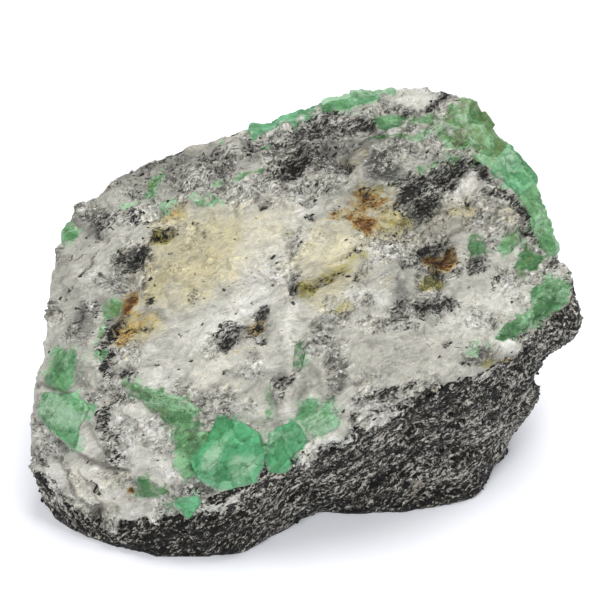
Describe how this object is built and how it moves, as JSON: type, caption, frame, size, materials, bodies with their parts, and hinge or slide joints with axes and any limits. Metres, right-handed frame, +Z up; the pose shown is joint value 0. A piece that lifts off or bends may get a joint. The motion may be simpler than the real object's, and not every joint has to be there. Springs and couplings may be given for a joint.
{
  "type": "emerald in matrix",
  "caption": "Rough emerald specimen: milky green emerald crystals set in a pale, stained quartz vein on dark mica schist, one broken lump that lies on a flat cleavage face.",
  "frame": {"origin": "middle of the bottom of the whole stone's box, on the flat sole", "axes": "+X to the right along the stone's longest side, +Y to the back where the top face is highest, +Z up"},
  "size_m": [0.0874, 0.0644, 0.0496],
  "materials": {
    "mica_schist": "dark grey, fine grained, foliated and sparkling with small mica flakes",
    "vein_quartz": "white to cream quartz and feldspar, sugary to glassy, with black mica, rust and yellow stains",
    "emerald": "milky translucent green beryl with pale veils and a soft glassy lustre"
  },
  "bodies": {
    "root": {"schist_base": "mica_schist", "quartz_vein": "vein_quartz", "emerald_front": "emerald", "emerald_front_right": "emerald", "emerald_front_flank": "emerald", "emerald_front_band": "emerald", "emerald_front_wedge": "emerald", "emerald_front_sprig": "emerald", "emerald_mottled": "emerald", "emerald_sliver": "emerald", "emerald_left_upper": "emerald", "emerald_left_lower": "emerald", "emerald_left_notch": "emerald", "emerald_bar": "emerald", "emerald_dot_left": "emerald", "emerald_dot_middle": "emerald", "emerald_dot_right": "emerald", "emerald_edge_upper": "emerald", "emerald_edge_middle": "emerald", "emerald_edge_lower": "emerald", "emerald_crest_left": "emerald", "emerald_crest_right": "emerald", "emerald_crest_dot": "emerald"}
  },
  "joints": []
}
